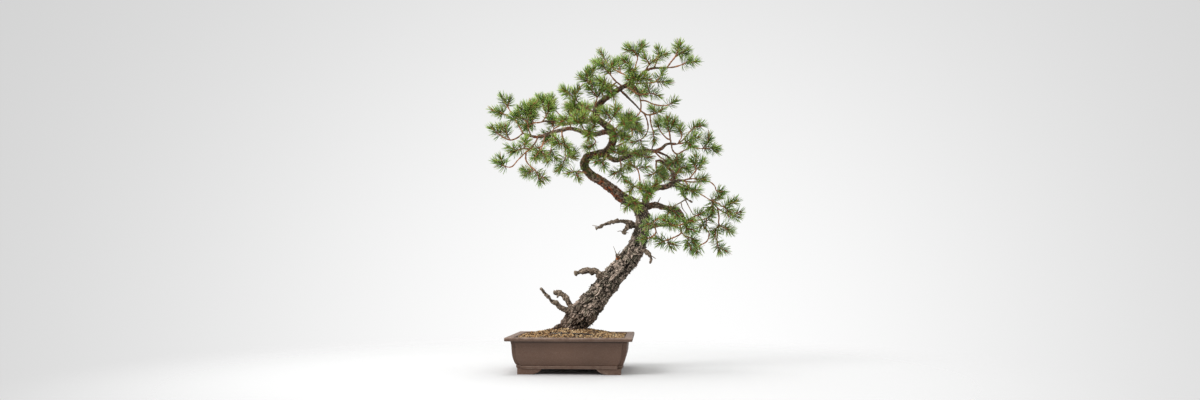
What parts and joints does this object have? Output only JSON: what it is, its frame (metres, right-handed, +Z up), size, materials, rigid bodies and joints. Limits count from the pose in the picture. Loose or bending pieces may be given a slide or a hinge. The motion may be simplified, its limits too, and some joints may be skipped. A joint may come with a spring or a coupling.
{
  "type": "pine bonsai in a pot",
  "caption": "A pine bonsai with a leaning, twisting trunk, dead stubs and airy sprays of needles, growing in a shallow rectangular clay pot on low feet.",
  "frame": {"origin": "under the middle of the whole plant's bounding box, on the surface that the pot's feet stand on", "axes": "+Z up, the tree's longest way; +X to the right along the pot's long side, the way the tree leans; +Y away from the viewer, across the pot, the whole plant's shortest way"},
  "size_m": [0.7038, 0.3434, 0.8943],
  "materials": {
    "pot": "matte",
    "soil": "matte",
    "wood": "matte",
    "needles": "satin",
    "wire": "satin",
    "screen": "matte"
  },
  "bodies": {
    "root": {"pot": "pot", "drain_screen_left": "screen", "drain_screen_right": "screen", "soil": "soil", "tie_wire": "wire", "trunk": "wood", "spray_left_tip": "needles", "spray_left_front": "needles", "spray_left_back": "needles", "spray_left_peak": "needles", "spray_left_low": "needles", "spray_left_under": "needles", "spray_left_inner": "needles", "spray_left_middle": "needles", "spray_trunk_bend": "needles", "spray_bright_front": "needles", "spray_bright_left": "needles", "spray_bright_back": "needles", "spray_shoulder": "needles", "spray_shoulder_front": "needles", "spray_crown_left": "needles", "spray_crown_front": "needles", "spray_crown_back_left": "needles", "spray_apex": "needles", "spray_apex_right": "needles", "spray_top_inner": "needles", "spray_top_right": "needles", "spray_top_right_low": "needles", "spray_crown_right_front": "needles", "spray_fall_side": "needles", "spray_fall_low": "needles", "spray_heart_left": "needles", "spray_heart_right": "needles", "spray_heart_back": "needles", "spray_fork_top": "needles", "spray_bend_front": "needles", "spray_limb_top": "needles", "spray_limb_front": "needles", "spray_inner_top": "needles", "spray_back_middle": "needles", "spray_under_knob": "needles", "spray_trunk_top": "needles", "spray_trunk_front": "needles", "spray_right_peak": "needles", "spray_right_middle": "needles", "spray_right_tip": "needles", "spray_right_low_up": "needles", "spray_right_shelf": "needles", "spray_cascade": "needles", "spray_bare_arch": "needles", "spray_low_limb": "needles", "spray_low_near_trunk": "needles", "spray_low_front": "needles", "spray_low_front_tip": "needles", "spray_low_far": "needles", "spray_back_left": "needles", "spray_back_right": "needles", "spray_back_crown": "needles", "spray_back_low_right": "needles", "spray_back_upper_right": "needles"}
  },
  "joints": []
}
